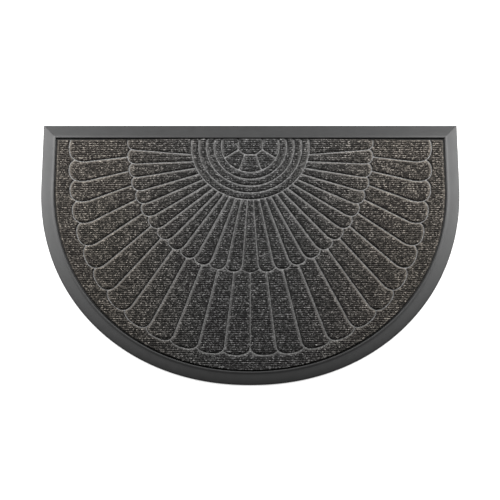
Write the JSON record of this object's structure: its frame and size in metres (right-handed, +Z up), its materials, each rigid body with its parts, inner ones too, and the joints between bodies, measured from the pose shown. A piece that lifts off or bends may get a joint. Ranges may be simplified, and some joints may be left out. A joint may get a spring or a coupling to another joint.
{
  "type": "half round doormat",
  "caption": "Half round doormat: a ribbed charcoal carpet pressed with a fan of round-ended petals, set in a black rubber tray with a bevelled border.",
  "frame": {"origin": "on the floor, below the middle of the mat's outline", "axes": "+X along the straight edge, +Y towards the straight edge, +Z up"},
  "size_m": [0.9144, 0.6096, 0.008],
  "materials": {
    "black_rubber": "satin, moulded",
    "charcoal_carpet": "matt heather pile with fine ribs"
  },
  "bodies": {
    "root": {"rubber_tray": "black_rubber", "ribbed_carpet": "charcoal_carpet"}
  },
  "joints": []
}
